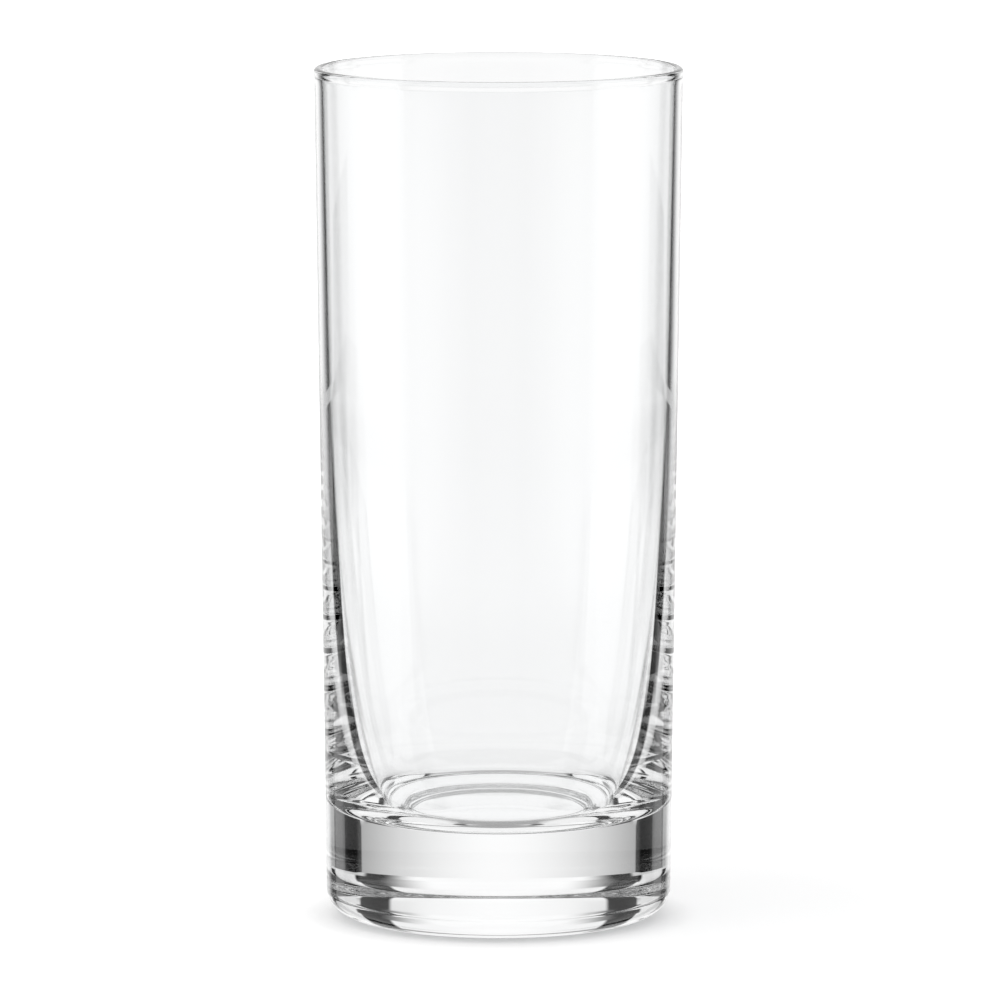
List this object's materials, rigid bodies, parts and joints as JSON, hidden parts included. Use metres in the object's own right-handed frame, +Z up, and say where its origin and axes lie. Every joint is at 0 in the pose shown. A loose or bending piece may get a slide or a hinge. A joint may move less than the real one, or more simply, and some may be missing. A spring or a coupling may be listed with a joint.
{
  "type": "highball glass",
  "caption": "Tall, slightly tapered clear tumbler with a heavy solid base, a rounded heel and a fire-polished rim, for long drinks.",
  "frame": {"origin": "centre of the foot, on the surface that the glass stands on", "axes": "+Z up along the axis of the glass, towards the rim; the glass is round, so +X and +Y are free"},
  "size_m": [0.0648, 0.0648, 0.15],
  "materials": {
    "clear_glass": "polished clear soda-lime glass"
  },
  "bodies": {
    "root": {"base": "clear_glass", "wall": "clear_glass", "rim": "clear_glass"}
  },
  "joints": []
}
